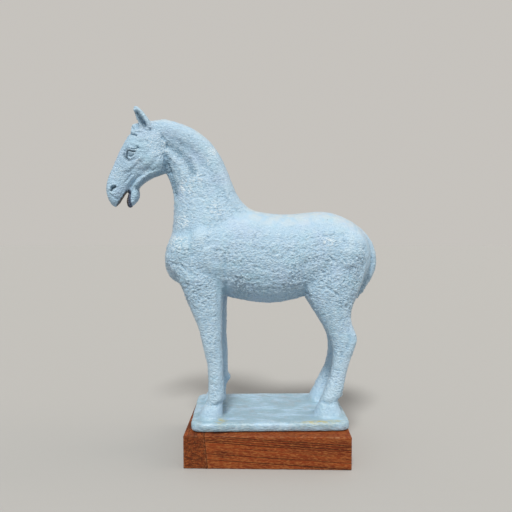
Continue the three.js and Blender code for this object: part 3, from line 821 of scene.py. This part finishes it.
# Oiled open-pored hardwood, like keruing: red brown, dark lines of resin along the grain, pale pores that
# show as dashes on the long faces and as dots on the end grain, and corners rubbed paler.
hardwood = {
    "alongGrain": 0.035,     # how much slower the pattern changes along the grain
    "poreLength": 0.16,
    "slope": 0.065,          # how fast the grain falls towards the tail end
    "lines": (31, 29.2, 26.4, 24.4, 19.6, 12.4, 6),     # mm up the block, where the resin lines run
    "lineWidth": 0.8,
    "lineWave": 3.0,
    "lineColour": "#2c140d",
    "furrowDepth": 0.3,      # mm, dark streaks stand back a little
    "furrowStrength": 0.5,
    "poreDepth": 0.25,
    "poreStrength": 0.4,
    "roughness": 0.62,
    "specular": 0.12,
}


def woodFinish(stretch, poreStretch, cutEnds):
    return {
        "ground": "#7f3a1b",
        "masks": ("rubbed",),
        "patterns": {     # size in mm, stretch, detail, roughness
            "bands": (3.4, stretch, 4, 0.6),
            "streaks": (0.95, stretch, 3, 0.7),
            "pores": (0.62, poreStretch, 1, 0.5),     # real pores are 0.3 mm, drawn coarser to show
            "wave": (4, stretch, 2, 0.5),
            "break": (7, stretch, 2, 0.5),
            "patches": (3.5, (1, 1, 1), 4, 0.5),
            "rings": (1.8, (0.3, 0.1, 1), 3, 0.6),
            "warmth": (16, (1, 1, 1), 2, 0.5),
        },
        "ramps": {        # source, from, to, most
            "late": ("bands", 0.36, 0.66, 0.75),
            "dark": ("streaks", 0.48, 0.68, 0.7),
            "warm": ("warmth", 0.45, 0.7, 0.4),
            "dashes": ("pores", 0.49, 0.62, 0.55),
            "lineOn": ("break", 0.3, 0.55, 0.8),
            "cut": ("rings", 0.36, 0.62, 0.75),
            "wearAndHighlight": ("patches", 0.44, 0.62, 0.65),
        },
        "layers": [
            (("late",), "#5b2816"),
            (("warm",), "#87431f"),
            (("dark",), "#33160d"),
            (("dashes",), "#a2693a"),
        ] + cutEnds + [
            (("rubbed", "wearAndHighlight"), "#a87c58"),
        ],
    }


def oiledHardwood(name, grainAxis, cutEnds):
    h = hardwood
    material, tree, output = newMaterial(name)
    straight = addNode(tree, "ShaderNodeTexCoord").outputs["Object"]
    tilt = -math.atan(h["slope"]) if grainAxis == 0 else 0
    place = addNode(tree, "ShaderNodeMapping", None, {
        "Vector": straight, "Rotation": (0, tilt, 0)}).outputs[0]
    stretch = tuple(h["alongGrain"] if axis == grainAxis else 1 for axis in range(3))
    poreStretch = tuple(h["poreLength"] if axis == grainAxis else 1 for axis in range(3))
    colour, socket = layeredColour(tree, place, woodFinish(stretch, poreStretch, cutEnds))
    height = addNode(tree, "ShaderNodeSeparateXYZ", None, {0: place}).outputs["Z"]
    level = addNode(tree, "ShaderNodeMath", {"operation": "MULTIPLY_ADD"}, {
        0: socket["wave"], 1: h["lineWave"] * mm, 2: height}).outputs[0]
    for up in h["lines"] if grainAxis == 0 else ():
        middle = (up + h["lineWave"] / 2) * mm
        here = addNode(tree, "ShaderNodeMath", {"operation": "COMPARE"}, {
            0: level, 1: middle, 2: h["lineWidth"] / 2 * mm})
        line = addNode(tree, "ShaderNodeMath", {"operation": "MULTIPLY"}, {
            0: here.outputs[0], 1: socket["lineOn"]})
        mix = addNode(tree, "ShaderNodeMix", {"data_type": "RGBA"}, {
            0: line.outputs[0], 6: colour, 7: toLinear(h["lineColour"])})
        colour = mix.outputs[2]
    furrows = addNode(tree, "ShaderNodeBump", None, {
        "Strength": h["furrowStrength"], "Distance": h["furrowDepth"] * mm, "Height": socket["dark"]})
    bump = addNode(tree, "ShaderNodeBump", {"invert": True}, {
        "Strength": h["poreStrength"], "Distance": h["poreDepth"] * mm, "Height": socket["dashes"],
        "Normal": furrows.outputs[0]})
    shader = addNode(tree, "ShaderNodeBsdfPrincipled", None, {
        "Base Color": colour, "Roughness": h["roughness"], "Specular IOR Level": h["specular"],
        "Normal": bump.outputs[0]})
    tree.links.new(shader.outputs[0], output.inputs["Surface"])
    return material


boards = {
    "edge": 0.9,         # mm, how far the edges are eased
    "wear": 0.8,         # mm more where they are knocked
    "knock": 7,          # mm, how long a knocked place is
    "atJoint": 0.25,     # share of the easing where the boards meet
    "step": 1.6,         # mm between the mesh lines
    "end": 3,            # mm from top and foot, where a board's corners are looked for
    "sawMarks": 0.12,    # mm deep
    "sawPitch": 1.7,     # mm from mark to mark
    "sawLength": 40,     # times the pitch
    "rubbed": (0.5, 2.2),     # mm from an edge, where the rubbed colour starts to fade and ends
}


def boardLines(length, edge, step):
    # Mesh lines along one side of a board: close together at the edges, even between.
    near = [0, 0.3 * edge, 0.65 * edge, edge, 1.5 * edge, 2.2 * edge]
    inner = np.linspace(near[-1], length - near[-1], max(2, round((length - 2 * near[-1]) / step)))
    return np.concatenate([near[:-1], inner, [length - n for n in reversed(near[:-1])]])


def gridBox(size, edge, step):
    lines = [boardLines(length, edge, step) for length in size]
    bm = bmesh.new()
    for axis in range(3):
        a, b = [k for k in range(3) if k != axis]
        for end in (0, size[axis]):
            rows = []
            for p in lines[a]:
                row = []
                for q in lines[b]:
                    corner = [0, 0, 0]
                    corner[axis], corner[a], corner[b] = end, p, q
                    row.append(bm.verts.new(corner))
                rows.append(row)
            for r, s in zip(rows, rows[1:]):
                for k in range(len(r) - 1):
                    bm.faces.new((r[k], r[k + 1], s[k + 1], s[k]))
    bmesh.ops.remove_doubles(bm, verts=bm.verts, dist=0.001)
    bmesh.ops.recalc_face_normals(bm, faces=bm.faces)
    mesh = bpy.data.meshes.new("board")
    bm.to_mesh(mesh)
    bm.free()
    return mesh


def buildBoard(name, node, grainAxis, material):
    # The joint between the two boards slants, so each board is sheared between its own ends.
    low, high = (np.array(corner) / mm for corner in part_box(node))
    corners = pointsOf(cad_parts[node].data) / mm
    foot = corners[corners[:, 2] < low[2] + boards["end"]]
    top = corners[corners[:, 2] > high[2] - boards["end"]]
    size = high - low
    mesh = gridBox(size, boards["edge"], boards["step"])
    points = pointsOf(mesh)
    knocked = np.clip(field(points + low, boards["knock"], 21) * 1.5 - 0.1, 0, 1)
    slants = [abs(foot[:, 0].min() - top[:, 0].min()), abs(foot[:, 0].max() - top[:, 0].max())]
    fromJoint = points[:, 0] if slants[0] > slants[1] else size[0] - points[:, 0]
    eased = boards["atJoint"] + (1 - boards["atJoint"]) * smoothStep(fromJoint, 1, 5)
    radius = (boards["edge"] + boards["wear"] * knocked) * eased
    inner = np.clip(points, radius[:, None], size - radius[:, None])
    outer = points - inner
    reach = np.linalg.norm(outer, axis=1)
    onEdge = (np.abs(outer) > 1e-6).sum(axis=1) > 1
    points = inner + outer * np.where(onEdge, radius / np.maximum(reach, 1e-6), 1)[:, None]
    stretch = np.ones(3)
    stretch[grainAxis] = boards["sawLength"]
    furrow = field(points + low, boards["sawPitch"] * stretch, 22) * boards["sawMarks"]
    middle = size / 2
    onFace = np.abs(points - middle) > middle - 0.01
    points += np.sign(middle - points) * onFace * np.abs(furrow)[:, None]
    up = points[:, 2] / size[2]
    leftHere = foot[:, 0].min() * (1 - up) + top[:, 0].min() * up
    rightHere = foot[:, 0].max() * (1 - up) + top[:, 0].max() * up
    across = points[:, 0] / size[0]
    placed = points + low
    placed[:, 0] = leftHere + (rightHere - leftHere) * across
    setPoints(mesh, placed * mm)
    shadeSmooth(mesh)
    nearEdge = np.sort(np.minimum(points, size - points), axis=1)[:, 1]
    storeMask(mesh, "rubbed", (1 - smoothStep(nearEdge, *boards["rubbed"])) * (0.35 + 0.65 * knocked))
    mesh.materials.append(material)
    piece = newPiece(name, mesh)
    keepInside(mesh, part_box(node))
    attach(piece, "root")
    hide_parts(node)
    print(name + ":", len(mesh.polygons), "faces")
    return piece


horsePiece = buildHorse()
horsePiece.data.materials.clear()
horsePiece.data.materials.append(paintedPlaster())
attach(horsePiece, "root")
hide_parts("horse")

longGrain = oiledHardwood("oiled_hardwood", 0, [])
blockPiece = buildBoard("plinth_board", "plinth_block", 0, longGrain)

# The strip's grain runs from front to back, and its cut ends drank more oil.
endGrain = oiledHardwood("oiled_hardwood_end_grain", 1, [(("cut",), "#3f1d10")])
stripPiece = buildBoard("end_strip_board", "plinth_end_strip", 1, endGrain)


studio = {
    "eye": 500,             # mm from the plinth's front face to the camera
    "eyeHeight": 249.6,     # mm
    "down": 3.4,            # degrees
    "aside": 1.32,          # degrees, to the horse's head
    "lens": 35.16,
    "sensor": 36,
    "floor": "#a1a3a4",
    "sky": "#e8e4de",
    "skyStrength": 0.7,
    "lamp": "#fffaf2",
    "lampStrength": 3.1,
    "lampWidth": 12,        # degrees
    "lampDirection": (0.14, 1.05, -1.45),
    "fill": "#ffe8d4",
    "fillStrength": 0.8,
    "fillWidth": 40,
    "fillDirection": (-1.0, -0.1, -0.65),
    "floorReach": 6,        # metres
}


def buildStudio():
    s = studio
    mesh = bpy.data.meshes.new("floor")
    r = s["floorReach"]
    mesh.from_pydata([(-r, -r, 0), (r, -r, 0), (r, r, 0), (-r, r, 0)], [], [(0, 1, 2, 3)])
    floor = newPiece("floor", mesh)
    material, tree, output = newMaterial("matt_floor")
    shader = addNode(tree, "ShaderNodeBsdfPrincipled", None, {
        "Base Color": toLinear(s["floor"]), "Roughness": 0.9})
    tree.links.new(shader.outputs[0], output.inputs["Surface"])
    mesh.materials.append(material)

    world = bpy.data.worlds.new("studio")
    world.use_nodes = True
    sky = world.node_tree.nodes["Background"]
    sky.inputs["Color"].default_value = toLinear(s["sky"])
    sky.inputs["Strength"].default_value = s["skyStrength"]
    bpy.context.scene.world = world
    bpy.context.scene.view_settings.view_transform = "Standard"

    # One broad lamp, high in front, so every dab has a lit top and a soft shadow under it, and a weak warm
    # one from beyond the tail, as from a pale wall.
    for name in ("lamp", "fill"):
        light = bpy.data.lights.new(name, "SUN")
        light.energy = s[name + "Strength"]
        light.angle = math.radians(s[name + "Width"])
        light.color = toLinear(s[name])[:3]
        lamp = bpy.data.objects.new(name, light)
        lamp.rotation_euler = Vector(s[name + "Direction"]).to_track_quat("-Z", "Y").to_euler()
        bpy.context.scene.collection.objects.link(lamp)

    camera = bpy.data.objects.new("camera", bpy.data.cameras.new("camera"))
    camera.data.lens = s["lens"]
    camera.data.sensor_width = s["sensor"]
    camera.data.clip_start = 0.01
    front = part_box("plinth_block")[0][1]
    camera.location = (0, front - s["eye"] * mm, s["eyeHeight"] * mm)
    camera.rotation_euler = (math.radians(90 - s["down"]), 0, math.radians(s["aside"]))
    bpy.context.scene.collection.objects.link(camera)
    bpy.context.scene.camera = camera


buildStudio()
print("studio set")
